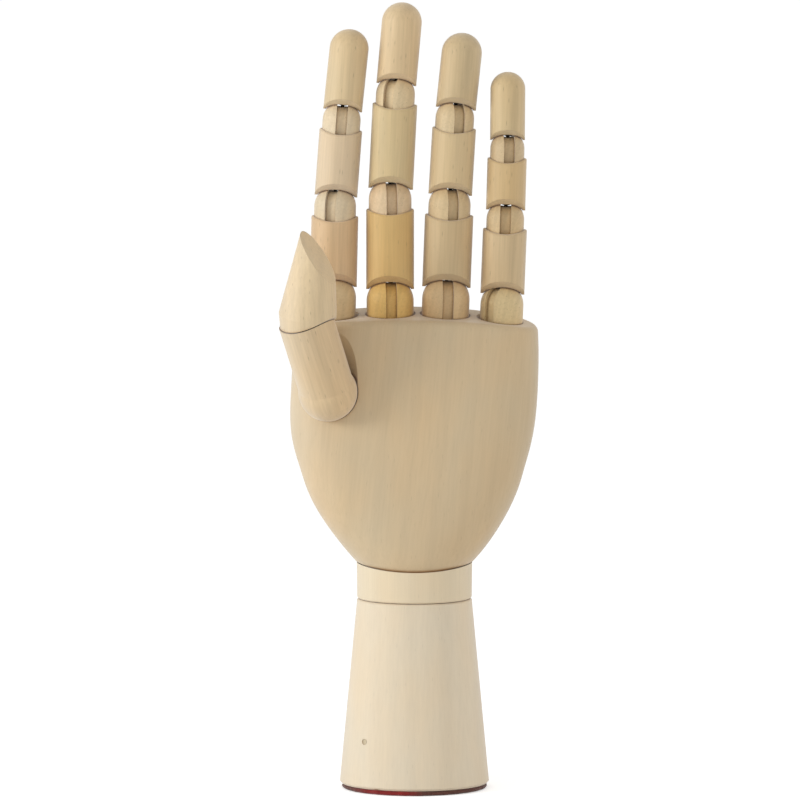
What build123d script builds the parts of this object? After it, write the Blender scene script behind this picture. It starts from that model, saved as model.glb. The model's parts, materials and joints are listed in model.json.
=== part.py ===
from build123d import *
import os
from math import cos, pi, radians, sin, sqrt, tan

os.makedirs("parts", exist_ok=True)

# The hand stands on its base with its palm towards -Y and its thumb towards -X.
# The origin is the centre of the felt's underside, and all lengths are millimetres.

# Base and felt
felt_thickness = 1.6
felt_inset = 0.3
base_height = 59.0
base_foot_width = 47.4
base_foot_depth = 38.8
base_top_width = 36.3
base_top_depth = 29.6
base_foot_chamfer = 0.7
base_top_chamfer = 0.4

# Wrist collar, whose dished top carries the domed heel of the palm
collar_width = 36.6
collar_depth = 29.8
collar_side_height = 11.5
collar_chamfer = 0.4
turning_gap = 0.2
wrist_dome_radius = 40.0
wrist_dome_gap = 0.25

# Spring, nail and screw eye that hold the wrist together
base_bore_radius = 7.0
collar_bore_radius = 8.5
base_pin_radius = 0.95
base_pin_height = 16.5
base_pin_turn = 219.0
base_pin_sink = 0.1
base_pin_bite = 8.0
wrist_spring_radius = 4.5
wrist_wire_radius = 0.9
wrist_hook_radius = 3.2
wrist_stem_radius = 0.7
hook_clearance = 0.45
eye_rise = 2.2
eye_shank_radius = 1.6
eye_shank_length = 20.0
eye_recess_mouth = 8.6
eye_recess_roof = 3.6

# Palm
palm_width = 77.2
palm_depth = 25.6
palm_height = 79.1
palm_top_slope = 5.4
palm_top_round = 2.4
rim_relief = 1.5
section_points = 16
# Each row follows one level of the palm: height, width, depth and sideways shift
# as shares of the three sizes above, then how square the outline is.
palm_shares = [
    (-0.068, 0.330, 0.840, 0.000, 2.00),
    (0.000, 0.474, 1.140, 0.000, 2.00),
    (0.046, 0.557, 1.205, 0.000, 2.05),
    (0.147, 0.707, 1.215, -0.004, 2.15),
    (0.250, 0.824, 1.170, -0.008, 2.30),
    (0.375, 0.912, 1.110, -0.010, 2.45),
    (0.520, 0.984, 1.050, -0.010, 2.60),
    (0.680, 1.000, 1.000, -0.002, 2.80),
    (0.850, 0.994, 0.960, 0.004, 3.00),
    (0.950, 0.986, 0.938, 0.004, 3.10),
    (1.050, 0.980, 0.920, 0.004, 3.20),
]
# How far the top falls towards the sides: place as a share of the width, then the drop
palm_top_drops = [
    (-0.55, 1.7),
    (-0.33, 0.75),
    (-0.10, 0.0),
    (0.13, 0.25),
    (0.35, 1.8),
    (0.55, 4.6),
]

# Fingers, one value for each: how far the knuckle ball lies towards the little finger and
# above the palm's top, then the lengths from ball to ball and to the end of the tip
knuckle_offset = {"index": -25.7, "middle": -7.7, "ring": 9.9, "pinky": 27.6}
knuckle_rise = {"index": 4.9, "middle": 4.0, "ring": 4.6, "pinky": 2.8}
proximal_length = {"index": 29.1, "middle": 32.2, "ring": 29.8, "pinky": 27.1}
middle_length = {"index": 27.5, "middle": 33.4, "ring": 27.6, "pinky": 22.5}
tip_length = {"index": 28.9, "middle": 29.2, "ring": 27.2, "pinky": 24.3}
proximal_width = {"index": 14.8, "middle": 15.1, "ring": 15.3, "pinky": 13.9}
middle_width = {"index": 13.5, "middle": 14.1, "ring": 13.8, "pinky": 12.4}
tip_width = {"index": 12.3, "middle": 12.6, "ring": 12.7, "pinky": 11.0}
knuckle_ball_width = {"index": 14.5, "middle": 14.9, "ring": 15.0, "pinky": 13.6}
middle_ball_width = {"index": 13.2, "middle": 13.5, "ring": 13.3, "pinky": 11.9}
tip_ball_width = {"index": 12.0, "middle": 12.3, "ring": 12.2, "pinky": 10.8}
# Degrees that each piece leans towards the little finger, and that each ball's slot
# is turned about the finger
proximal_lean = {"index": 1.3, "middle": 0.0, "ring": 2.2, "pinky": 2.2}
middle_lean = {"index": 4.3, "middle": 2.9, "ring": 3.4, "pinky": 1.6}
tip_lean = {"index": 6.0, "middle": 5.0, "ring": 6.0, "pinky": 0.4}
knuckle_slot_turn = {"index": -30.0, "middle": 4.0, "ring": 6.0, "pinky": -38.0}
middle_slot_turn = {"index": -14.0, "middle": 6.0, "ring": 12.0, "pinky": 0.0}
tip_slot_turn = {"index": 0.0, "middle": -22.0, "ring": 16.0, "pinky": 8.0}

# The joints of the fingers
joint_gap = 0.15
seat_gap = 0.05
knuckle_ball_side = {"index": 6.4, "middle": 4.7, "ring": 5.5, "pinky": 5.5}
finger_ball_side = 4.6
rim_drop = 3.0
rim_crown = 1.4
rim_chamfer = 0.3
scoop_tilt = 34.0
scoop_edge_share = 0.52
slot_width = 3.4
slot_depth = 1.6
ball_bore_radius = 1.3

# Wires along the fingers, with their springs and screw eyes in the palm
wire_radius = 0.6
wire_gap = 0.2
wire_end_gap = 0.1
tip_wire_share = 0.6
finger_spring_radius = 2.1
finger_spring_length = 16.0
finger_spring_drop = 13.5
spring_bore_gap = 0.5
finger_eye_radius = 1.5
finger_eye_wire = 0.45
finger_eye_shank = 9.0
finger_eye_shank_radius = 0.6

# Thumb
thumb_ball_offset = -27.3
thumb_ball_depth = 12.6
thumb_ball_drop = 23.4
thumb_ball_radius = 9.3
thumb_socket_gap = 0.25
thumb_channel_gap = 0.5
thumb_channel_start = 5.5
thumb_channel_length = 14.0
thumb_swing_in = 22.0
thumb_swing_out = 40.0
thumb_shank_radius = 8.75
thumb_shank_length = 24.5
thumb_saddle_radius = 20.0
thumb_tip_length = 31.9
thumb_tip_straight = 5.6
thumb_tip_end_radius = 5.3
thumb_tip_end_shift = 3.5
thumb_tip_radius = 9.1
thumb_tip_foot_radius = 8.5
thumb_saddle_gap = 0.25
thumb_facet_shift = -1.8
thumb_tip_wire_share = 0.5
thumb_wire_start = 3.0
thumb_spring_drop = 15.0
# Directions of the two thumb pieces, of the hinge between them, of the way up from its saddle
# and of the normal of the tip's facet
thumb_shank_way = Vector(-6.3, -10.3, 22.0).normalized()
thumb_tip_way = Vector(-0.5, -7.0, 27.0).normalized()
thumb_hinge_way = Vector(0.50, 0.86, 0.08).normalized()
thumb_saddle_way = Vector(-0.14, 0.0, 0.99).normalized()
thumb_facet_way = Vector(0.80, -0.33, 0.505).normalized()
# The way from the thumb's ball down to its spring in the palm
thumb_bore_way = Vector(0.45, 0.54, -0.71).normalized()

# One overrun serves every cut
overrun = 1.0

base_top = felt_thickness + base_height
collar_bottom = base_top + turning_gap
rim_height = collar_bottom + collar_side_height
half_collar = collar_width / 2
wrist_centre = rim_height + sqrt(wrist_dome_radius**2 - half_collar**2)
dome_bottom = wrist_centre - wrist_dome_radius
palm_top = rim_height + palm_height


def side_plane(frame):
    """The plane through a frame's axis that is seen from its side: x is depth, y is length."""
    return Plane(frame.origin, x_dir=frame.y_dir, z_dir=frame.x_dir)


def leaning_plane(origin, lean):
    """A plane whose axis leans towards the little finger by lean degrees."""
    across = Vector(cos(radians(lean)), 0, -sin(radians(lean)))
    along = Vector(sin(radians(lean)), 0, cos(radians(lean)))
    return Plane(origin, x_dir=across, z_dir=along)


def turned_plane(frame, turn):
    """A frame turned about its own axis by turn degrees."""
    return Plane(frame.location * Location((0, 0, 0), (0, 0, turn)))


def loop(plane, radius, wire):
    """A closed loop at the end of a spring or screw eye, about a plane's origin."""
    with BuildPart() as ring:
        with BuildSketch(plane.offset(-wire)):
            Circle(radius + wire)
            Circle(radius - wire, mode=Mode.SUBTRACT)
        extrude(amount=2 * wire)
    return ring.part


def save(builder, name):
    """Name a finished piece and write it."""
    builder.part.label = name
    export_step(builder.part, f"parts/{name}.step")


# Felt pad
with BuildPart() as felt_pad:
    with BuildSketch(Plane.XY):
        Ellipse(base_foot_width / 2 - felt_inset, base_foot_depth / 2 - felt_inset)
    extrude(amount=felt_thickness)
save(felt_pad, "felt_pad")

# Base: an oval column that widens to its foot, bored through for the wrist spring
with BuildPart() as base:
    with BuildSketch(Plane.XY.offset(felt_thickness)):
        Ellipse(base_foot_width / 2, base_foot_depth / 2)
    with BuildSketch(Plane.XY.offset(base_top)):
        Ellipse(base_top_width / 2, base_top_depth / 2)
    loft(ruled=True)
    chamfer(base.edges().group_by(Axis.Z)[0], base_foot_chamfer)
    chamfer(base.edges().group_by(Axis.Z)[-1], base_top_chamfer)
    with BuildSketch(Plane.XY.offset(felt_thickness)):
        Circle(base_bore_radius)
    extrude(amount=base_height, mode=Mode.SUBTRACT)
    pin_way = Vector(cos(radians(base_pin_turn)), sin(radians(base_pin_turn)), 0)
    pin_level = base_pin_height
    pin_share = (pin_level - felt_thickness) / base_height
    pin_wide = (base_foot_width + (base_top_width - base_foot_width) * pin_share) / 2
    pin_deep = (base_foot_depth + (base_top_depth - base_foot_depth) * pin_share) / 2
    pin_reach = 1 / sqrt((pin_way.X / pin_wide) ** 2 + (pin_way.Y / pin_deep) ** 2)
    pin_far_end = base_bore_radius + base_pin_bite
    pin_plane = Plane(Vector(0, 0, pin_level) - pin_way * pin_far_end, z_dir=pin_way)
    with BuildSketch(pin_plane):
        Circle(base_pin_radius)
    extrude(amount=pin_far_end + pin_reach + overrun, mode=Mode.SUBTRACT)
save(base, "base")

# The nail that holds the lower end of the wrist spring
with BuildPart() as base_pin:
    with BuildSketch(pin_plane):
        Circle(base_pin_radius)
    extrude(amount=pin_far_end + pin_reach - base_pin_sink)
save(base_pin, "base_pin")

# Wrist collar: a short oval block, dished on top
with BuildPart() as wrist_collar:
    with BuildSketch(Plane.XY.offset(collar_bottom)):
        Ellipse(base_top_width / 2, base_top_depth / 2)
    with BuildSketch(Plane.XY.offset(rim_height + overrun)):
        Ellipse(collar_width / 2, collar_depth / 2)
    loft(ruled=True)
    chamfer(wrist_collar.edges().group_by(Axis.Z)[0], collar_chamfer)
    with Locations((0, 0, wrist_centre)):
        Sphere(wrist_dome_radius, mode=Mode.SUBTRACT)
    with BuildSketch(Plane.XY.offset(collar_bottom)):
        Circle(collar_bore_radius)
    extrude(amount=collar_side_height + overrun, mode=Mode.SUBTRACT)
save(wrist_collar, "wrist_collar")


def palm_outline(wide, deep, shift, squareness):
    """Points of one rounded-oblong level of the palm."""
    points = []
    for k in range(section_points):
        turn = 2 * pi * (k + 0.5) / section_points
        across = abs(cos(turn)) ** (2 / squareness)
        along = abs(sin(turn)) ** (2 / squareness)
        x = shift + (across if cos(turn) > 0 else -across) * wide / 2
        y = (along if sin(turn) > 0 else -along) * deep / 2
        points.append((x, y))
    return points


# The frames of every finger joint, from the knuckle up
finger_names = list(knuckle_offset)
knuckle_frame = {}
middle_frame = {}
tip_frame = {}
knuckle_foot_radius = {}
for name in finger_names:
    knuckle_foot_radius[name] = sqrt((knuckle_ball_width[name] / 2) ** 2 + knuckle_ball_side[name] ** 2)
    place = Vector(knuckle_offset[name], 0, palm_top + knuckle_rise[name])
    knuckle_frame[name] = leaning_plane(place, proximal_lean[name])
    place = knuckle_frame[name].offset(proximal_length[name]).origin
    middle_frame[name] = leaning_plane(place, middle_lean[name])
    place = middle_frame[name].offset(middle_length[name]).origin
    tip_frame[name] = leaning_plane(place, tip_lean[name])

# The thumb: its ball end, its shank, and the saddle and hinge between its two pieces
thumb_place = Vector(thumb_ball_offset, -thumb_ball_depth, palm_top - thumb_ball_drop)
thumb_frame = Plane(thumb_place, z_dir=thumb_shank_way)
thumb_bore_frame = Plane(thumb_place, z_dir=-thumb_bore_way)
thumb_seat = thumb_frame.offset(thumb_shank_length).origin
across_saddle = thumb_hinge_way.cross(thumb_saddle_way).normalized()
above_saddle = across_saddle.cross(thumb_hinge_way).normalized()
thumb_hinge_place = thumb_seat + above_saddle * thumb_saddle_radius
saddle_plane = Plane(thumb_hinge_place, x_dir=above_saddle, z_dir=thumb_hinge_way)

# The channel in the palm that the thumb's shank swings in: its floor follows the shank's back
thumb_around = Vector(thumb_shank_way.X, 0, thumb_shank_way.Z).normalized()
channel_plane = Plane(thumb_place, x_dir=thumb_around, z_dir=thumb_around.cross(Vector(0, -1, 0)))
thumb_rise = -thumb_shank_way.Y / sqrt(1 - thumb_shank_way.Y**2)
channel_drop = (thumb_shank_radius + thumb_channel_gap) * sqrt(1 + thumb_rise**2)

# Palm: lofted through level outlines, then cut to its curved and sloping top
slope_way = Vector(0, -cos(radians(palm_top_slope)), -sin(radians(palm_top_slope)))
top_plane = Plane((0, 0, palm_top), x_dir=(1, 0, 0), z_dir=slope_way)
spring_bore_radius = finger_spring_radius + spring_bore_gap
eye_drop = finger_spring_drop + finger_spring_length + finger_eye_radius + finger_eye_wire
eye_foot_drop = eye_drop + finger_eye_radius + finger_eye_wire
spring_frames = [(knuckle_frame[name], 0) for name in finger_names]
spring_frames.append((thumb_bore_frame, thumb_spring_drop - finger_spring_drop))
eye_centre = dome_bottom + wrist_hook_radius + wrist_wire_radius + eye_rise


# What is cut from the palm's heel to leave its dome
with BuildPart(mode=Mode.PRIVATE) as heel_waste:
    with BuildSketch(Plane.XY.offset(dome_bottom - palm_depth)):
        Circle(palm_width)
    extrude(amount=palm_depth + rim_height - dome_bottom + rim_relief)
    with Locations((0, 0, wrist_centre)):
        Sphere(wrist_dome_radius - wrist_dome_gap, mode=Mode.SUBTRACT)

with BuildPart() as palm:
    for level, wide_share, deep_share, shift_share, squareness in palm_shares:
        wide = wide_share * palm_width
        shift = shift_share * palm_width
        outline = palm_outline(wide, deep_share * palm_depth, shift, squareness)
        with BuildSketch(Plane.XY.offset(rim_height + level * palm_height)):
            with BuildLine():
                Spline(*outline, periodic=True)
            make_face()
    loft()
    with BuildSketch(top_plane.offset(-palm_depth)):
        with BuildLine():
            top_points = [(share * palm_width, -drop) for share, drop in palm_top_drops]
            Spline(*top_points)
            Polyline(top_points[-1], (palm_width, palm_depth), (-palm_width, palm_depth), top_points[0])
        make_face()
    extrude(amount=2 * palm_depth, mode=Mode.SUBTRACT)
    fillet(palm.faces().sort_by(Axis.Z)[-1].edges(), palm_top_round)
    add(heel_waste.part, mode=Mode.SUBTRACT)
    # Recess and pilot hole of the wrist's screw eye
    with BuildSketch(Plane.XY.offset(dome_bottom - overrun)):
        Circle(eye_recess_mouth)
    with BuildSketch(Plane.XY.offset(eye_centre + wrist_hook_radius + wrist_wire_radius)):
        Circle(eye_recess_roof)
    loft(mode=Mode.SUBTRACT)
    with BuildSketch(Plane.XY.offset(eye_centre)):
        Circle(eye_shank_radius)
    extrude(amount=wrist_hook_radius + eye_shank_length, mode=Mode.SUBTRACT)
    # Cups that the rounded feet of the knuckle balls turn in
    for name in finger_names:
        with Locations(knuckle_frame[name].location):
            Sphere(knuckle_foot_radius[name] + joint_gap, mode=Mode.SUBTRACT)
    # Socket of the thumb's ball end, and the channel of its shank
    with Locations(thumb_frame.location):
        Sphere(thumb_ball_radius + thumb_socket_gap, mode=Mode.SUBTRACT)
    with BuildSketch(channel_plane):
        with BuildLine():
            start = thumb_channel_start
            end = thumb_channel_start + thumb_channel_length
            Polyline((start, thumb_rise * start - channel_drop), (end, thumb_rise * end - channel_drop),
                     (end, palm_depth), (start, palm_depth), close=True)
        make_face()
    revolve(axis=Axis(thumb_place, (0, -1, 0)), revolution_arc=thumb_swing_out, mode=Mode.SUBTRACT)
    for swing in (-thumb_swing_in, 0, thumb_swing_out):
        swung = Plane(thumb_place, z_dir=thumb_shank_way.rotate(Axis.Y, -swing))
        with BuildSketch(swung):
            Circle(thumb_shank_radius + thumb_channel_gap)
        extrude(amount=thumb_channel_start + thumb_channel_length, mode=Mode.SUBTRACT)
    # Bores of the springs and pilot holes of their screw eyes
    for frame, deeper in spring_frames:
        with BuildSketch(frame):
            Circle(spring_bore_radius)
        extrude(amount=-(eye_foot_drop + deeper), mode=Mode.SUBTRACT)
        with BuildSketch(frame):
            Circle(finger_eye_shank_radius)
        extrude(amount=-(eye_foot_drop + deeper + finger_eye_shank), mode=Mode.SUBTRACT)
save(palm, "palm")

# Screw eye in the palm's heel
with BuildPart() as wrist_eye:
    add(loop(Plane((0, 0, eye_centre), z_dir=(0, 1, 0)), wrist_hook_radius, wrist_wire_radius))
    with BuildSketch(Plane.XY.offset(eye_centre + wrist_hook_radius)):
        Circle(eye_shank_radius)
    extrude(amount=eye_shank_length)
save(wrist_eye, "wrist_eye")

# Wrist spring: a close-wound extension spring in outline, with a loop at each end
upper_loop = eye_centre - wrist_hook_radius + 2 * wrist_wire_radius + hook_clearance - wrist_hook_radius
lower_loop = base_pin_height - base_pin_radius - wrist_wire_radius - hook_clearance + wrist_hook_radius
with BuildPart() as wrist_spring:
    add(loop(Plane((0, 0, upper_loop), z_dir=(1, 0, 0)), wrist_hook_radius, wrist_wire_radius))
    add(loop(Plane((0, 0, lower_loop), z_dir=pin_way), wrist_hook_radius, wrist_wire_radius))
    with BuildSketch(Plane.XY.offset(lower_loop + wrist_hook_radius)):
        Circle(wrist_stem_radius)
    extrude(amount=upper_loop - lower_loop - 2 * wrist_hook_radius)
    with BuildSketch(Plane.XY.offset(lower_loop + 2 * wrist_hook_radius)):
        Circle(wrist_spring_radius)
    extrude(amount=upper_loop - lower_loop - 2 * (2 * wrist_hook_radius))
save(wrist_spring, "wrist_spring")

# Springs of the fingers and the thumb, in outline
with BuildPart() as finger_springs:
    for frame, deeper in spring_frames:
        with BuildSketch(frame.offset(-finger_spring_drop - deeper)):
            Circle(finger_spring_radius)
        extrude(amount=-finger_spring_length)
save(finger_springs, "finger_springs")

# Screw eyes under those springs
with BuildPart() as spring_eyes:
    for frame, deeper in spring_frames:
        eye_place = frame.offset(-eye_drop - deeper)
        add(loop(side_plane(eye_place), finger_eye_radius, finger_eye_wire))
        with BuildSketch(eye_place.offset(-finger_eye_radius)):
            Circle(finger_eye_shank_radius)
        extrude(amount=-finger_eye_shank)
save(spring_eyes, "spring_eyes")

# Wires of the fingers inside the palm, from the springs up to the balls
with BuildPart() as palm_wires:
    for name in finger_names:
        drop = knuckle_foot_radius[name] + wire_end_gap
        with BuildSketch(knuckle_frame[name].offset(-drop)):
            Circle(wire_radius)
        extrude(amount=drop - finger_spring_drop)
save(palm_wires, "palm_wires")


def slotted_ball(frame, width, side, foot_radius, turn, piece):
    """A dome on a short straight side, with a wire bore and a slot round it where it bends.

    The foot is round and turns about the dome's centre, or flat where foot_radius is zero.
    """
    radius = width / 2
    rise = sqrt(radius**2 - ball_bore_radius**2)
    foot = sqrt(foot_radius**2 - ball_bore_radius**2) if foot_radius else side
    floor = radius - slot_depth
    with BuildPart() as ball:
        with BuildSketch(side_plane(frame)):
            with BuildLine():
                Polyline((ball_bore_radius, -foot), (ball_bore_radius, rise))
                RadiusArc((ball_bore_radius, rise), (radius, 0), radius)
                Line((radius, 0), (radius, -side))
                if foot_radius:
                    RadiusArc((radius, -side), (ball_bore_radius, -foot), foot_radius)
                else:
                    Line((radius, -side), (ball_bore_radius, -foot))
            make_face()
        revolve(axis=Axis(frame.origin, frame.z_dir))
        with BuildSketch(side_plane(turned_plane(frame, turn))):
            Rectangle(width + overrun, 2 * (foot + width))
            Circle(floor, mode=Mode.SUBTRACT)
            with Locations((0, -foot)):
                Rectangle(2 * floor, 2 * foot, mode=Mode.SUBTRACT)
        extrude(amount=slot_width / 2, both=True, mode=Mode.SUBTRACT)
    save(ball, piece)


def horn_waste(frame, radius, ball_radius):
    """What is cut from a finger piece to leave its two horns: a round cup and a tilted flat on each side."""
    edge = scoop_edge_share * ball_radius
    slope = tan(radians(scoop_tilt))
    ridge = sqrt(ball_radius**2 - edge**2) - edge * slope
    reach = radius + overrun
    with BuildPart() as waste:
        with Locations(frame.location):
            Sphere(ball_radius + joint_gap)
        with BuildSketch(side_plane(frame)):
            with BuildLine():
                Polyline((0, ridge), (reach, ridge + reach * slope), (reach, -radius), (-reach, -radius),
                         (-reach, ridge + reach * slope), close=True)
            make_face()
        extrude(amount=reach, both=True)
    return waste.part


def finger_piece(frame, length, width, lower_ball, upper_ball, piece):
    """A dowel between two balls: horns over the lower one and a crowned rim round the upper one."""
    radius = width / 2
    rim = length - rim_drop
    with BuildPart() as dowel:
        with BuildSketch(frame):
            Circle(radius)
        extrude(amount=length)
        with BuildSketch(side_plane(frame)):
            with BuildLine():
                ThreePointArc((-radius, rim - rim_crown), (0, rim), (radius, rim - rim_crown))
                Polyline((radius, rim - rim_crown), (radius + overrun, rim - rim_crown),
                         (radius + overrun, length + overrun), (-radius - overrun, length + overrun),
                         (-radius - overrun, rim - rim_crown), (-radius, rim - rim_crown))
            make_face()
        extrude(amount=radius + overrun, both=True, mode=Mode.SUBTRACT)
        rim_face = dowel.faces().sort_by(Axis(frame.origin, frame.z_dir))[-1]
        chamfer(rim_face.edges(), rim_chamfer)
        with BuildSketch(frame.offset(length - finger_ball_side)):
            Circle(upper_ball / 2 + seat_gap)
        extrude(amount=finger_ball_side, mode=Mode.SUBTRACT)
        add(horn_waste(frame, radius, lower_ball / 2), mode=Mode.SUBTRACT)
        with BuildSketch(frame):
            Circle(wire_radius + wire_gap)
        extrude(amount=length, mode=Mode.SUBTRACT)
    save(dowel, piece)


def finger_tip(frame, length, width, lower_ball, piece):
    """The last dowel of a finger, with a domed end and a blind wire bore."""
    radius = width / 2
    with BuildPart() as dowel:
        with BuildSketch(side_plane(frame)):
            with BuildLine():
                Polyline((0, length), (0, 0), (radius, 0), (radius, length - radius))
                RadiusArc((radius, length - radius), (0, length), -radius)
            make_face()
        revolve(axis=Axis(frame.origin, frame.z_dir))
        add(horn_waste(frame, radius, lower_ball / 2), mode=Mode.SUBTRACT)
        with BuildSketch(frame):
            Circle(wire_radius)
        extrude(amount=tip_wire_share * length, mode=Mode.SUBTRACT)
    save(dowel, piece)


def wire_piece(frame, start, end, piece):
    """A straight length of wire along a frame's axis."""
    with BuildPart() as wire:
        with BuildSketch(frame.offset(start)):
            Circle(wire_radius)
        extrude(amount=end - start)
    save(wire, piece)


for name in finger_names:
    knuckle = knuckle_frame[name]
    middle = middle_frame[name]
    tip = tip_frame[name]
    ball_widths = (knuckle_ball_width[name], middle_ball_width[name], tip_ball_width[name])
    low_ball, mid_ball, top_ball = ball_widths
    side = knuckle_ball_side[name]
    foot_radius = knuckle_foot_radius[name]
    slotted_ball(knuckle, low_ball, side, foot_radius, knuckle_slot_turn[name], f"{name}_knuckle_ball")
    finger_piece(knuckle, proximal_length[name], proximal_width[name], low_ball, mid_ball, f"{name}_proximal")
    upper = knuckle.offset(proximal_length[name])
    slotted_ball(upper, mid_ball, finger_ball_side, 0, middle_slot_turn[name], f"{name}_middle_ball")
    finger_piece(middle, middle_length[name], middle_width[name], mid_ball, top_ball, f"{name}_middle")
    upper = middle.offset(middle_length[name])
    slotted_ball(upper, top_ball, finger_ball_side, 0, tip_slot_turn[name], f"{name}_tip_ball")
    finger_tip(tip, tip_length[name], tip_width[name], top_ball, f"{name}_tip")
    wire_piece(knuckle, -foot_radius, low_ball / 2, f"{name}_knuckle_wire")
    end = proximal_length[name] + mid_ball / 2
    wire_piece(knuckle, low_ball / 2 + wire_end_gap, end, f"{name}_proximal_wire")
    end = middle_length[name] + top_ball / 2
    wire_piece(middle, mid_ball / 2 + wire_end_gap, end, f"{name}_middle_wire")
    wire_piece(tip, top_ball / 2 + wire_end_gap, tip_wire_share * tip_length[name], f"{name}_tip_wire")

# Thumb, lower piece: a dowel with a ball end, and a saddle across its top
with BuildPart(thumb_frame) as thumb_proximal:
    Sphere(thumb_ball_radius)
    with BuildSketch(thumb_frame):
        Circle(thumb_shank_radius)
    extrude(amount=thumb_shank_length + thumb_saddle_radius)
    with BuildSketch(saddle_plane):
        Circle(thumb_saddle_radius)
    extrude(amount=thumb_saddle_radius, both=True, mode=Mode.SUBTRACT)
    for bore_frame, reach in ((thumb_frame, thumb_shank_length), (thumb_bore_frame, -thumb_ball_radius)):
        with BuildSketch(bore_frame):
            Circle(wire_radius + wire_gap)
        extrude(amount=reach, mode=Mode.SUBTRACT)
save(thumb_proximal, "thumb_proximal")

# Thumb, tip piece: a dowel that narrows to one side, with one long facet, over the same saddle
thumb_tip_plane = Plane(thumb_seat, x_dir=(1, 0, 0), z_dir=thumb_tip_way)
facet_place = thumb_tip_plane.offset(thumb_tip_length).origin + thumb_tip_plane.x_dir * thumb_facet_shift
with BuildPart(mode=Mode.PRIVATE) as saddle_waste:
    with BuildSketch(Plane(thumb_seat, z_dir=above_saddle).offset(-thumb_shank_radius)):
        Circle(2 * thumb_shank_radius)
    extrude(amount=2 * thumb_shank_radius)
    with BuildSketch(saddle_plane):
        Circle(thumb_saddle_radius - thumb_saddle_gap)
    extrude(amount=2 * thumb_saddle_radius, both=True, mode=Mode.SUBTRACT)
with BuildPart() as thumb_tip:
    with BuildSketch(thumb_tip_plane.offset(-thumb_shank_radius / 2)):
        Circle(thumb_tip_foot_radius)
    with BuildSketch(thumb_tip_plane.offset(thumb_tip_straight)):
        Circle(thumb_tip_radius)
    loft()
    with BuildSketch(thumb_tip_plane.offset(thumb_tip_straight)):
        Circle(thumb_tip_radius)
    with BuildSketch(thumb_tip_plane.offset(thumb_tip_length)):
        with Locations((thumb_tip_end_shift, 0)):
            Circle(thumb_tip_end_radius)
    loft()
    with BuildSketch(Plane(facet_place, z_dir=thumb_facet_way)):
        Rectangle(2 * thumb_tip_length, 2 * thumb_tip_length)
    extrude(amount=thumb_tip_length, mode=Mode.SUBTRACT)
    add(saddle_waste.part, mode=Mode.SUBTRACT)
    with BuildSketch(thumb_tip_plane):
        Circle(wire_radius)
    extrude(amount=thumb_tip_wire_share * thumb_tip_length, mode=Mode.SUBTRACT)
save(thumb_tip, "thumb_tip")
wire_piece(thumb_bore_frame, wire_end_gap - thumb_spring_drop, -wire_radius, "thumb_ball_wire")
wire_piece(thumb_frame, wire_end_gap, thumb_shank_length, "thumb_proximal_wire")
wire_piece(thumb_tip_plane, thumb_wire_start, thumb_tip_wire_share * thumb_tip_length, "thumb_tip_wire")
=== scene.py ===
import json
import math

import bmesh
import bpy
from mathutils import Matrix, Vector, noise


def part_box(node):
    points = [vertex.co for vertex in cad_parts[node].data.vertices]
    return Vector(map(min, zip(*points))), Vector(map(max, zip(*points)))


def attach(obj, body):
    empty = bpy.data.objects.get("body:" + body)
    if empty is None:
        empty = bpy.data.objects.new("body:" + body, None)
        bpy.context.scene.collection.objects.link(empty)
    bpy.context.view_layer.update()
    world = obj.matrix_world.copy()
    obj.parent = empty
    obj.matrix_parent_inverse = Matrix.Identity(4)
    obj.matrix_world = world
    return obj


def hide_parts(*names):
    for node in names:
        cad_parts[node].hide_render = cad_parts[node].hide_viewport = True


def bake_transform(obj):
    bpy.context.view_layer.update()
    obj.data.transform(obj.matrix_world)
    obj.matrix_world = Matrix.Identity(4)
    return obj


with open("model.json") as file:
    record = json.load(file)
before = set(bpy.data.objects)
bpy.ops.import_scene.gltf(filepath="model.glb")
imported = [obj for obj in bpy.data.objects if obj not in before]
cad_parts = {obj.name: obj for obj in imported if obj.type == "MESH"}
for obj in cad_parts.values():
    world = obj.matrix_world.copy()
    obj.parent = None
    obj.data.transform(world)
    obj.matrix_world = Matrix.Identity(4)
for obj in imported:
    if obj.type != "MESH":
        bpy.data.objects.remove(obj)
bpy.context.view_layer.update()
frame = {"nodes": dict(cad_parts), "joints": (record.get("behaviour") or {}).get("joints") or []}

nodes = frame["nodes"]
joints = {joint["name"]: joint for joint in frame["joints"]}
fingers = ("index", "middle", "ring", "pinky")
fingerJoints = ("knuckle", "middle_joint", "tip_joint")
up = Vector((0, 0, 1))


def newMaterial(name):
    material = bpy.data.materials.new(name)
    material.use_nodes = True
    tree = material.node_tree
    return material, tree, tree.nodes["Principled BSDF"]


def setInputs(node, values):
    for key, value in values.items():
        node.inputs[key].default_value = value


def addNode(tree, kind, values=None, **settings):
    node = tree.nodes.new(kind)
    for key, value in settings.items():
        setattr(node, key, value)
    setInputs(node, values or {})
    return node


def objectPlace(tree):
    return tree.nodes.new("ShaderNodeTexCoord").outputs["Object"]


def partOf(tree, vector, axis):
    parts = tree.nodes.new("ShaderNodeSeparateXYZ")
    tree.links.new(vector, parts.inputs[0])
    return parts.outputs[axis]


def mixColour(tree, factor, first, second, blend="MIX"):
    # factor, first and second may be sockets, colours or numbers
    node = addNode(tree, "ShaderNodeMix", data_type="RGBA", blend_type=blend)
    for index, value in ((0, factor), (6, first), (7, second)):
        if isinstance(value, bpy.types.NodeSocket):
            tree.links.new(value, node.inputs[index])
        else:
            node.inputs[index].default_value = value
    return node.outputs[2]


def ramp(tree, source, places, colours):
    node = tree.nodes.new("ShaderNodeValToRGB")
    elements = node.color_ramp.elements
    while len(elements) < len(places):
        elements.new(0.5)
    for element, place, colour in zip(elements, places, colours):
        element.position = place
        element.color = (*colour, 1)
    tree.links.new(source, node.inputs["Fac"])
    return node.outputs["Color"]


def grey(value):
    return (value, value, value)


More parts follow.
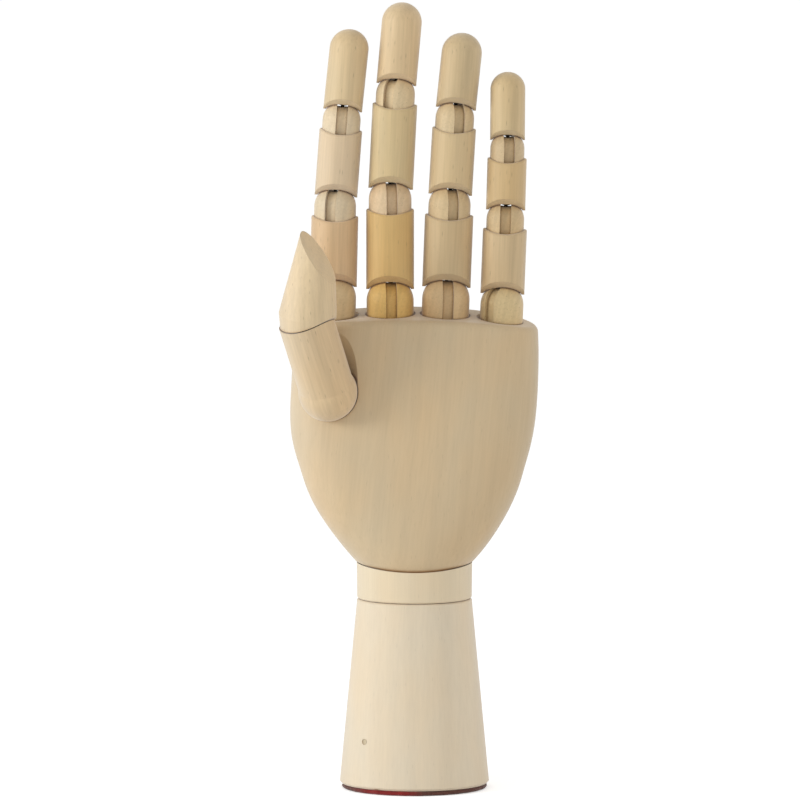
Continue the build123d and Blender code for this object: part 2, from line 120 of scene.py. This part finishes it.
def linear(red, green, blue):
    # a colour as it looks on screen, 0 to 255, made linear
    def one(value):
        value /= 255
        return value / 12.92 if value <= 0.04045 else ((value + 0.055) / 1.055) ** 2.4

    return (one(red), one(green), one(blue))


# "places" say at which values of a pattern each of its colours is reached
woodDefaults = {
    "tone": linear(206, 184, 150),
    "along": up,  # the way of the grain
    "turn": 0.0,  # of the figure round the grain, in degrees
    "seed": 0.0,  # moves the figure, so that no two pieces share one
    "seedShift": Vector((0.013, 0.021, 0.4)),
    # broad figure: bands of growth rings, bent by slow noise
    "ringShade": 0.07,  # how much darker the bands are
    "ringWidth": 0.006,
    "ringBend": 2.2,
    "ringStretch": 0.22,  # the smaller, the longer along the grain
    "ringPlaces": (0.0, 0.55, 1.0),
    "ringFarShare": 0.35,  # of the shade, at the last place
    # fine straight fibres
    "fibreShade": 0.10,  # how much darker they are
    "fibreScale": 1500.0,
    "fibreStretch": 0.035,
    "fibrePlaces": (0.3, 0.62),
    # short dark pores
    "fleckShade": 0.35,
    "fleckScale": 900.0,
    "fleckStretch": 0.16,
    "fleckPlaces": (0.02, 0.16),
    # slow change of tone over the piece, in red, green and blue
    "blotch": 0.07,
    "blotchScale": 55.0,
    "blotchStretch": 0.5,
    "blotchPlaces": (0.3, 0.7),
    "warmWay": (0.4, -0.2, -1.0),
    "coolWay": (-0.4, -0.2, 0.0),
    # a thin satin lacquer, a little rougher in the dark fibres
    "roughness": 0.52,
    "glossPlaces": (0.2, 0.8),
    "glossChange": (0.12, -0.05),
    "specular": 0.45,
    # matt varnish looks pale where it is seen aslant
    "sheen": 0.50,
    "sheenSpread": 0.45,
    "bump": 0.12,
    "bumpDepth": 0.0004,
    "bumpPores": 0.4,  # share of the pores, the rest being fibres
    # painted shade where seams and hollows are occluded, partly grime from lacquer and handling
    "shadeAndGrime": linear(150, 112, 72),
    "shadeAndGrimeReach": 0.0011,
    "shadeAndGrimePlaces": (0.30, 0.80),
    "edgeRound": 0.00025,
    # painted light: a pale sheen multiplied into the tone towards the thumb's side, where the key lamp
    # falls
    "paintedLightTone": None,
    "paintedLightFrom": -0.022,
    "paintedLightTo": -0.040,
}
bandWidth = 0.31  # of the wave texture's bands at scale 1


def woodMaterial(name, **changes):
    look = dict(woodDefaults, **changes)
    material, tree, shader = newMaterial(name)
    links = tree.links
    place = objectPlace(tree)
    spin = look["along"].rotation_difference(up).to_matrix()
    spin = Matrix.Rotation(math.radians(look["turn"]), 3, "Z") @ spin
    mapping = addNode(tree, "ShaderNodeMapping", {"Rotation": spin.to_euler()})
    links.new(place, mapping.inputs["Vector"])
    shifted = addNode(tree, "ShaderNodeMapping", {"Location": look["seedShift"] * look["seed"]})
    links.new(mapping.outputs["Vector"], shifted.inputs["Vector"])

    def stretched(along):
        node = addNode(tree, "ShaderNodeMapping", {"Scale": (1.0, 1.0, along)})
        links.new(shifted.outputs["Vector"], node.inputs["Vector"])
        return node.outputs["Vector"]

    def cloud(kind, detail, roughness):
        values = {"Scale": look[f"{kind}Scale"], "Detail": detail, "Roughness": roughness}
        node = addNode(tree, "ShaderNodeTexNoise", values)
        links.new(stretched(look[f"{kind}Stretch"]), node.inputs["Vector"])
        return node.outputs["Fac"]

    figure = {
        "Scale": bandWidth / look["ringWidth"],
        "Distortion": look["ringBend"],
        "Detail": 2.5,
        "Detail Scale": 0.6,
        "Detail Roughness": 0.5,
    }
    rings = addNode(tree, "ShaderNodeTexWave", figure, bands_direction="X")
    links.new(stretched(look["ringStretch"]), rings.inputs["Vector"])
    shade = look["ringShade"]
    ringShades = [grey(1 - shade), grey(1.0), grey(1 - shade * look["ringFarShare"])]
    ringTone = ramp(tree, rings.outputs["Fac"], look["ringPlaces"], ringShades)

    fibres = cloud("fibre", detail=4.0, roughness=0.6)
    fibreTone = ramp(tree, fibres, look["fibrePlaces"], [grey(1 - look["fibreShade"]), grey(1.0)])

    pores = addNode(tree, "ShaderNodeTexVoronoi", {"Scale": look["fleckScale"], "Randomness": 1.0})
    links.new(stretched(look["fleckStretch"]), pores.inputs["Vector"])
    poreShades = [grey(1 - look["fleckShade"]), grey(1.0)]
    poreTone = ramp(tree, pores.outputs["Distance"], look["fleckPlaces"], poreShades)

    blotches = cloud("blotch", detail=2.0, roughness=0.55)
    warmAndCool = [
        tuple(part * (1 + look["blotch"] * change) for part, change in zip(look["tone"], look[way]))
        for way in ("warmWay", "coolWay")
    ]
    colour = ramp(tree, blotches, look["blotchPlaces"], warmAndCool)
    for tone in (ringTone, fibreTone, poreTone):
        colour = mixColour(tree, 1.0, colour, tone, "MULTIPLY")
    # painted light: paler towards the lamp-lit side, by the thumb
    if look["paintedLightTone"]:
        reach = {"From Min": look["paintedLightFrom"], "From Max": look["paintedLightTo"]}
        pale = addNode(tree, "ShaderNodeMapRange", reach)
        links.new(partOf(tree, place, "X"), pale.inputs["Value"])
        lighter = mixColour(tree, pale.outputs["Result"], (1, 1, 1, 1), (*look["paintedLightTone"], 1))
        colour = mixColour(tree, 1.0, colour, lighter, "MULTIPLY")

    # painted shade: the tone darkens where the ambient occlusion finds seams and hollows
    seams = addNode(tree, "ShaderNodeAmbientOcclusion", {"Distance": look["shadeAndGrimeReach"]}, samples=6)
    seamShadeTone = ramp(tree, seams.outputs["AO"], look["shadeAndGrimePlaces"], [look["shadeAndGrime"], grey(1.0)])
    colour = mixColour(tree, 1.0, colour, seamShadeTone, "MULTIPLY")
    links.new(colour, shader.inputs["Base Color"])

    glosses = [grey(look["roughness"] + change) for change in look["glossChange"]]
    links.new(ramp(tree, fibres, look["glossPlaces"], glosses), shader.inputs["Roughness"])
    finish = {
        "Specular IOR Level": look["specular"],
        "Sheen Weight": look["sheen"],
        "Sheen Roughness": look["sheenSpread"],
    }
    setInputs(shader, finish)

    relief = {"Strength": look["bump"], "Distance": look["bumpDepth"]}
    bump = addNode(tree, "ShaderNodeBump", relief)
    links.new(mixColour(tree, look["bumpPores"], fibreTone, poreTone), bump.inputs["Height"])
    rounded = addNode(tree, "ShaderNodeBevel", {"Radius": look["edgeRound"]}, samples=4)
    links.new(rounded.outputs["Normal"], bump.inputs["Normal"])
    links.new(bump.outputs["Normal"], shader.inputs["Normal"])
    return material


steelDefaults = {
    "tone": (0.34, 0.33, 0.31),
    "dim": 0.85,  # what the darker specks keep of the tone
    "speckScale": 2500.0,
    "speckPlaces": (0.3, 0.7),
    "roughness": 0.38,
    "glossChange": (0.1, -0.05),
    "metallic": 1.0,
}
# painted shade: the wire is near black, standing in for the shade inside the bore holes
wireLook = {"tone": (0.03, 0.024, 0.018), "roughness": 0.8, "metallic": 0.3}


def steelMaterial(name, **changes):
    look = dict(steelDefaults, **changes)
    material, tree, shader = newMaterial(name)
    specks = addNode(tree, "ShaderNodeTexNoise", {"Scale": look["speckScale"], "Detail": 3.0})
    tree.links.new(objectPlace(tree), specks.inputs["Vector"])
    tones = [tuple(part * look["dim"] for part in look["tone"]), look["tone"]]
    glosses = [grey(look["roughness"] + change) for change in look["glossChange"]]
    for target, colours in (("Base Color", tones), ("Roughness", glosses)):
        spread = ramp(tree, specks.outputs["Fac"], look["speckPlaces"], colours)
        tree.links.new(spread, shader.inputs[target])
    shader.inputs["Metallic"].default_value = look["metallic"]
    return material


def dress(name, material):
    piece = nodes[name]
    if piece.data.materials:
        piece.data.materials[0] = material
    else:
        piece.data.materials.append(material)


def axisBetween(lower, upper):
    start = Vector(joints[lower]["pos_m"])
    end = Vector(joints[upper]["pos_m"])
    return (end - start).normalized()


# tones are screen colours of each piece's lit front
fingerTones = {
    "index_proximal": (216, 184, 142),
    "index_middle": (220, 198, 165),
    "index_tip": (218, 194, 152),
    "middle_proximal": (212, 178, 116),
    "middle_middle": (212, 190, 145),
    "middle_tip": (220, 194, 152),
    "ring_proximal": (205, 180, 138),
    "ring_middle": (212, 188, 145),
    "ring_tip": (208, 184, 142),
    "pinky_proximal": (210, 184, 142),
    "pinky_middle": (210, 182, 134),
    "pinky_tip": (213, 188, 143),
    "index_knuckle_ball": (212, 188, 146),
    "index_middle_ball": (222, 202, 168),
    "index_tip_ball": (226, 206, 172),
    "middle_knuckle_ball": (222, 184, 110),
    "middle_middle_ball": (220, 194, 156),
    "middle_tip_ball": (222, 200, 160),
    "ring_knuckle_ball": (216, 186, 140),
    "ring_middle_ball": (212, 188, 146),
    "ring_tip_ball": (214, 192, 152),
    "pinky_knuckle_ball": (222, 196, 146),
    "pinky_middle_ball": (210, 184, 140),
    "pinky_tip_ball": (210, 186, 146),
}
# seeds and turns go up from finger to finger
figureSteps = {"pieceSeed": 5.0, "pieceStep": 3, "turnStep": 40.0, "ballSeed": 20.0, "ballStep": 2}
ballLook = {"along": Vector((0.2, 1, 0.3)).normalized(), "ringWidth": 0.003}
plainBlock = {
    "fibreShade": 0.04,
    "ringShade": 0.03,
    "fleckShade": 0.10,
    "ringWidth": 0.011,
    # paler painted shade in the seams of the turned blocks
    "shadeAndGrime": linear(214, 190, 156),
    "shadeAndGrimeReach": 0.0007,
}
baseLook = dict(plainBlock, tone=linear(228, 213, 187), seed=1.0)
collarLook = dict(plainBlock, tone=linear(228, 212, 182), seed=1.7)
palmLook = {
    "tone": linear(208, 186, 150),
    "fibreShade": 0.05,
    "ringShade": 0.035,
    "fleckShade": 0.12,
    "ringWidth": 0.009,
    "ringBend": 3.5,
    "along": Vector((0.10, 0, 1)).normalized(),
    "seed": 2.3,
    "blotch": 0.08,
    # darker painted shade in the palm's seams and round the thumb's socket
    "shadeAndGrime": linear(180, 144, 102),
    "shadeAndGrimeReach": 0.0012,
    # painted light on the lamp-lit side towards the thumb
    "paintedLightTone": (1.10, 1.14, 1.24),
}
thumbLook = {
    "tone": linear(218, 192, 152),
    "along": Vector((-6.3, -10.3, 22.0)).normalized(),
    "seed": 3.1,
    "shadeAndGrime": linear(190, 158, 118),
    # painted light on the lamp-lit side
    "paintedLightTone": (1.02, 1.09, 1.22),
    "paintedLightFrom": -0.030,
}
thumbTipLook = {
    "tone": linear(222, 200, 162),
    "along": Vector((-0.5, -7.0, 27.0)).normalized(),
    "seed": 3.9,
    "shadeAndGrime": linear(190, 158, 118),
    # painted light on the lamp-lit side
    "paintedLightTone": (1.05, 1.06, 1.12),
    "paintedLightFrom": -0.034,
}
nailLook = {"tone": linear(206, 190, 158), "fibreShade": 0.2, "shadeAndGrime": grey(1.0), "seed": 9.0}

print("wood")
dress("base", woodMaterial("baseWood", **baseLook))
dress("wrist_collar", woodMaterial("collarWood", **collarLook))
dress("palm", woodMaterial("palmWood", **palmLook))
dress("thumb_proximal", woodMaterial("thumbWood", **thumbLook))
dress("thumb_tip", woodMaterial("thumbTipWood", **thumbTipLook))
for count, finger in enumerate(fingers):
    knuckle, middle, tip = (f"{finger}_{joint}" for joint in fingerJoints)
    ways = {"proximal": axisBetween(knuckle, middle), "middle": axisBetween(middle, tip)}
    ways["tip"] = ways["middle"]
    for part, way in ways.items():
        name = f"{finger}_{part}"
        tone = linear(*fingerTones[name])
        seed = figureSteps["pieceSeed"] + figureSteps["pieceStep"] * count + len(part)
        turn = figureSteps["turnStep"] * count
        dress(name, woodMaterial(f"{name}Wood", tone=tone, along=way, seed=seed, turn=turn))
    for part in ("knuckle", "middle", "tip"):
        name = f"{finger}_{part}_ball"
        tone = linear(*fingerTones[name])
        seed = figureSteps["ballSeed"] + figureSteps["ballStep"] * count + len(part)
        dress(name, woodMaterial(f"{name}Wood", tone=tone, seed=seed, **ballLook))

print("steel and nail")
springSteel = steelMaterial("springSteel")
paintedShadeWire = steelMaterial("paintedShadeWire", **wireLook)
for name in nodes:
    if name.endswith("_wire") or name == "palm_wires":
        dress(name, paintedShadeWire)
for name in ("wrist_spring", "wrist_eye", "finger_springs", "spring_eyes"):
    dress(name, springSteel)
dress("base_pin", woodMaterial("nailFiller", **nailLook))


def skinRows(mesh, rows):
    # a closed skin over rings of points, with a flat end on the first and on the last
    count = len(rows[0])
    for lower, upper in zip(rows, rows[1:]):
        for index in range(count):
            after = (index + 1) % count
            mesh.faces.new((lower[index], lower[after], upper[after], upper[index]))
    mesh.faces.new(reversed(rows[0]))
    mesh.faces.new(rows[-1])
    bmesh.ops.recalc_face_normals(mesh, faces=mesh.faces)


def addPiece(name, mesh, material):
    data = bpy.data.meshes.new(name)
    mesh.to_mesh(data)
    mesh.free()
    for face in data.polygons:
        face.use_smooth = len(face.vertices) == 4
    data.materials.append(material)
    piece = bpy.data.objects.new(name, data)
    bpy.context.collection.objects.link(piece)
    return piece


# the felt under the base, cut by hand
feltLook = {
    "halfWidth": 0.0229,
    "halfDepth": 0.0191,
    "thickness": 0.00158,
    "points": 360,
    # how far in the edge stands and how high it is, from the foot up
    "edge": [(0.0011, 0.0), (0.0003, 0.12), (0.0, 0.45), (0.00012, 0.8), (0.0006, 1.0)],
    # how far the edge strays, and for each wave its share of that, how fine it is round
    # the pad and how fine from the foot up
    "ragged": 0.00022,
    "waves": [(1.0, 9, 2), (0.6, 40, 5)],
    # a tuft that stands up over the wood in front, left of the middle
    "tuftPlace": -0.0119,
    "tuftWidth": 0.0011,
    "tuftOut": 0.00045,
    "tuftRise": 0.0005,
    "tuftFrom": 0.2,  # share of the thickness where it begins
    # the felt's own red left of the middle; towards both ends painted shade, dark brown, where it lies
    # under the base
    "red": (linear(104, 10, 12), linear(150, 30, 26)),
    "shadeBrown": (linear(66, 34, 28), linear(108, 64, 52)),
    "redMiddle": -0.0085,
    "redUntil": 0.006,  # from its middle, either way
    "shadeBrownFrom": 0.0115,
    "napScale": 1800.0,
    "napPlaces": (0.3, 0.7),
    "roughness": 0.95,
    "sheen": 0.3,
    "bump": 0.6,
    "bumpDepth": 0.0003,
}


def feltMaterial(name, look):
    material, tree, shader = newMaterial(name)
    links = tree.links
    place = objectPlace(tree)
    values = {"Scale": look["napScale"], "Detail": 5.0, "Roughness": 0.7}
    noiseNode = addNode(tree, "ShaderNodeTexNoise", values)
    links.new(place, noiseNode.inputs["Vector"])
    nap = noiseNode.outputs["Fac"]
    red = ramp(tree, nap, look["napPlaces"], look["red"])
    shadeBrown = ramp(tree, nap, look["napPlaces"], look["shadeBrown"])
    offset = addNode(tree, "ShaderNodeMath", {1: -look["redMiddle"]}, operation="ADD")
    links.new(partOf(tree, place, "X"), offset.inputs[0])
    away = addNode(tree, "ShaderNodeMath", operation="ABSOLUTE")
    links.new(offset.outputs[0], away.inputs[0])
    reach = {"From Min": look["redUntil"], "From Max": look["shadeBrownFrom"]}
    share = addNode(tree, "ShaderNodeMapRange", reach)
    links.new(away.outputs[0], share.inputs["Value"])
    # painted shade: the felt turns dark brown away from its red middle
    links.new(mixColour(tree, share.outputs["Result"], red, shadeBrown), shader.inputs["Base Color"])
    setInputs(shader, {"Roughness": look["roughness"], "Sheen Weight": look["sheen"]})
    relief = {"Strength": look["bump"], "Distance": look["bumpDepth"]}
    bump = addNode(tree, "ShaderNodeBump", relief)
    links.new(nap, bump.inputs["Height"])
    links.new(bump.outputs["Normal"], shader.inputs["Normal"])
    return material


def feltPad(look):
    mesh = bmesh.new()
    rows = []
    for inset, level in look["edge"]:
        row = []
        for step in range(look["points"]):
            turn = 2 * math.pi * step / look["points"]
            way = Vector((math.cos(turn), math.sin(turn), 0))
            out = -inset
            for share, fine, fineUp in look["waves"]:
                out += look["ragged"] * share * noise.noise(way * fine + up * level * fineUp)
            height = look["thickness"] * level
            if way.y < 0:
                offset = (way.x * look["halfWidth"] - look["tuftPlace"]) / look["tuftWidth"]
                tuft = math.exp(-offset * offset) * level
                out += look["tuftOut"] * tuft
                height += look["tuftRise"] * tuft * (look["tuftFrom"] < level < 1.0)
            across, deep = way.x * (look["halfWidth"] + out), way.y * (look["halfDepth"] + out)
            row.append(mesh.verts.new((across, deep, height)))
        rows.append(row)
    skinRows(mesh, rows)
    piece = addPiece("feltPad", mesh, feltMaterial("redFelt", look))
    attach(piece, "base")
    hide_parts("felt_pad")


print("felt")
feltPad(feltLook)

# small near-black windings of the wire over the balls, in the slots where it leaves a dowel: painted
# shade filling the holes' mouths
wrapLook = {
    "turns": 2.5,
    "radius": 0.00108,
    "wire": 0.00036,  # half its thickness
    "reach": 0.0009,  # length of the winding
    "overlap": -0.00024,  # from the ball's surface up to the winding's end
    "steps": 28,  # in each turn
    "sides": 12,
    "leftOut": ("index_knuckle", "pinky_knuckle"),  # where the photograph shows none
}
# for each joint, the piece that it moves and the two joints that the wire there points along
wiredJoints = {
    "knuckle": ("proximal", "knuckle", "middle_joint"),
    "middle_joint": ("middle", "middle_joint", "tip_joint"),
    "tip_joint": ("tip", "middle_joint", "tip_joint"),
}


def wrapTree(look, material):
    tree = bpy.data.node_groups.new("shadeWireWrap", "GeometryNodeTree")
    tree.is_modifier = True
    for name in ("Turns", "Radius", "Wire", "Length"):
        tree.interface.new_socket(name, in_out="INPUT", socket_type="NodeSocketFloat")
    tree.interface.new_socket("Geometry", in_out="OUTPUT", socket_type="NodeSocketGeometry")
    given = tree.nodes.new("NodeGroupInput")
    spiral = addNode(tree, "GeometryNodeCurveSpiral", {"Resolution": look["steps"]})
    fed = {"Rotations": "Turns", "Start Radius": "Radius", "End Radius": "Radius", "Height": "Length"}
    for target, source in fed.items():
        tree.links.new(given.outputs[source], spiral.inputs[target])
    section = addNode(tree, "GeometryNodeCurvePrimitiveCircle", {"Resolution": look["sides"]})
    tree.links.new(given.outputs["Wire"], section.inputs["Radius"])
    tube = addNode(tree, "GeometryNodeCurveToMesh", {"Fill Caps": True})
    tree.links.new(spiral.outputs[0], tube.inputs["Curve"])
    tree.links.new(section.outputs[0], tube.inputs["Profile Curve"])
    real = tree.nodes.new("GeometryNodeRealizeInstances")
    tree.links.new(tube.outputs[0], real.inputs[0])
    paint = addNode(tree, "GeometryNodeSetMaterial", {"Material": material})
    tree.links.new(real.outputs[0], paint.inputs["Geometry"])
    result = tree.nodes.new("NodeGroupOutput")
    tree.links.new(paint.outputs[0], result.inputs[0])
    return tree


def wrapPattern(look):
    names = {"Turns": "turns", "Radius": "radius", "Wire": "wire", "Length": "reach"}
    maker = bpy.data.objects.new("wrapMaker", bpy.data.meshes.new("wrapMaker"))
    bpy.context.collection.objects.link(maker)
    winding = maker.modifiers.new("winding", "NODES")
    winding.node_group = wrapTree(look, paintedShadeWire)
    for item in winding.node_group.interface.items_tree:
        if item.name in names:
            winding[item.identifier] = look[names[item.name]]
    wound = maker.evaluated_get(bpy.context.evaluated_depsgraph_get())
    pattern = bpy.data.meshes.new_from_object(wound)
    bpy.data.objects.remove(maker)
    return pattern


def shadeWireWraps(look):
    pattern = wrapPattern(look)
    for finger in fingers:
        for joint, (part, below, above) in wiredJoints.items():
            if f"{finger}_{joint}" in look["leftOut"]:
                continue
            ball = f"{finger}_{joint.replace('_joint', '')}_ball"
            low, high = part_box(ball)
            way = axisBetween(f"{finger}_{below}", f"{finger}_{above}")
            start = (high[0] - low[0]) / 2 + look["overlap"] - look["reach"]
            place = Vector(joints[f"{finger}_{joint}"]["pos_m"]) + way * start
            data = pattern.copy()
            data.transform(Matrix.Translation(place) @ up.rotation_difference(way).to_matrix().to_4x4())
            piece = bpy.data.objects.new(f"{finger}_{part}_shade_wire_wrap", data)
            bpy.context.collection.objects.link(piece)
            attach(piece, f"{finger}_{part}")


print("wire wraps")
shadeWireWraps(wrapLook)

# the thumb's two lengths of wire made one, which bends between the lower piece and the tip
linkLook = {
    "radius": 0.0006,
    "sides": 12,
    "step": 0.0008,  # along the wire
    # how far the bend reaches, below the seat and above it
    "before": 0.003,
    "after": 0.007,
}


def thumbLink(look):
    radius = look["radius"]

    def ends(name):
        # the wires lean to the left and to the front
        low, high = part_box(name)
        lower = Vector((high[0] - radius, high[1] - radius, low[2]))
        upper = Vector((low[0] + radius, low[1] + radius, high[2]))
        return lower, upper

    foot, seatBelow = ends("thumb_proximal_wire")
    seatAbove, top = ends("thumb_tip_wire")
    seat = (seatBelow + seatAbove) / 2
    turns = [2 * math.pi * index / look["sides"] for index in range(look["sides"])]
    mesh = bmesh.new()
    rows = []
    for start, end in ((foot, seat), (seat, top)):
        way = (end - start).normalized()
        side = way.cross(Vector((0, 1, 0))).normalized()
        other = way.cross(side)
        ring = [(side * math.cos(turn) + other * math.sin(turn)) * radius for turn in turns]
        count = round((end - start).length / look["step"])
        # only the upper length has a row at its end too
        for step in range(count + (end == top)):
            middle = start.lerp(end, step / count)
            rows.append([mesh.verts.new(middle + out) for out in ring])
    skinRows(mesh, rows)
    piece = addPiece("thumb_link_wire", mesh, paintedShadeWire)
    way = (top - seat).normalized()
    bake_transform(piece)
    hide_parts("thumb_proximal_wire", "thumb_tip_wire")


print("thumb wire")
thumbLink(linkLook)

stageLook = {
    "lensDistance": 4.0,
    "picture": 800,
    "millimetresPerPixel": 0.316,
    "axisPixel": 414.5,  # where the base's axis stands in the picture
    "groundPixel": 788.5,  # where the ground under the axis lies in the picture
    "elevation": 7.5,
    "floorSize": 12.0,
    "floorTone": 0.93,
    "floorGlow": 0.46,  # seen by the camera and by mirrors, so that it lights nothing matt
    "skyStrength": 0.59,
    "lampAim": Vector((0, 0, 0.12)),
}
lampLooks = {
    "keyLamp": {
        "place": Vector((-1.20, -0.50, 0.45)),
        "size": 0.45,
        "watts": 8.8,
        "tint": (0.97, 0.985, 1.0),
    },
    "frontLamp": {
        "place": Vector((0.1, -1.5, 0.6)),
        "size": 0.8,
        "watts": 0.9,
        "tint": (1.0, 0.99, 0.97),
    },
    "sideLamp": {
        "place": Vector((1.3, -0.25, 0.40)),
        "size": 0.5,
        "watts": 2.4,
        "tint": (1.0, 0.92, 0.82),
    },
}


def seenDirectly(tree):
    # one for rays from the camera, mirrors and glass, zero for light that falls on the object
    rays = tree.nodes.new("ShaderNodeLightPath")
    total = rays.outputs["Is Camera Ray"]
    for name in ("Is Glossy Ray", "Is Transmission Ray"):
        either = addNode(tree, "ShaderNodeMath", operation="MAXIMUM")
        tree.links.new(total, either.inputs[0])
        tree.links.new(rays.outputs[name], either.inputs[1])
        total = either.outputs[0]
    return total


def buildFloor(look):
    material, tree, shader = newMaterial("paleFloor")
    finish = {
        "Base Color": (*grey(look["floorTone"]), 1),
        "Roughness": 1.0,
        "Specular IOR Level": 0.0,
        "Emission Color": (1, 1, 1, 1),
    }
    setInputs(shader, finish)
    glow = addNode(tree, "ShaderNodeMath", {1: look["floorGlow"]}, operation="MULTIPLY")
    tree.links.new(seenDirectly(tree), glow.inputs[0])
    tree.links.new(glow.outputs[0], shader.inputs["Emission Strength"])
    bpy.ops.mesh.primitive_plane_add(size=look["floorSize"], location=(0, 0, 0))
    floor = bpy.context.object
    floor.name = "floor"
    floor.data.materials.append(material)


def buildSky(look):
    world = bpy.data.worlds.new("studio")
    bpy.context.scene.world = world
    world.use_nodes = True
    tree = world.node_tree
    background = tree.nodes["Background"]
    background.inputs["Color"].default_value = (1, 1, 1, 1)
    level = addNode(tree, "ShaderNodeMapRange", {"To Min": look["skyStrength"], "To Max": 1.0})
    tree.links.new(seenDirectly(tree), level.inputs["Value"])
    tree.links.new(level.outputs["Result"], background.inputs["Strength"])


def buildLamp(name, look, target):
    lamp = bpy.data.lights.new(name, "AREA")
    lamp.energy = look["watts"]
    lamp.size = look["size"]
    lamp.color = look["tint"]
    holder = bpy.data.objects.new(name, lamp)
    holder.location = look["place"]
    holder.rotation_euler = (target - look["place"]).to_track_quat("-Z", "Y").to_euler()
    bpy.context.collection.objects.link(holder)


def buildCamera(look):
    # a long lens, from where the photograph seems to be taken
    tilt = math.radians(look["elevation"])
    half = look["picture"] / 2
    pixel = look["millimetresPerPixel"] / 1000
    across = (half - look["axisPixel"]) * pixel
    rise = (look["groundPixel"] - half) * pixel / math.cos(tilt)
    target = Vector((across, 0, rise))
    camera = bpy.data.cameras.new("camera")
    camera.lens = camera.sensor_width * look["lensDistance"] / (look["picture"] * pixel)
    holder = bpy.data.objects.new("camera", camera)
    holder.location = target + Vector((0, -math.cos(tilt), math.sin(tilt))) * look["lensDistance"]
    holder.rotation_euler = (math.radians(90) - tilt, 0, 0)
    bpy.context.collection.objects.link(holder)
    bpy.context.scene.camera = holder


print("stage")
buildFloor(stageLook)
buildSky(stageLook)
for name, look in lampLooks.items():
    buildLamp(name, look, stageLook["lampAim"])
buildCamera(stageLook)
bpy.context.scene.view_settings.view_transform = "Standard"

print("done")
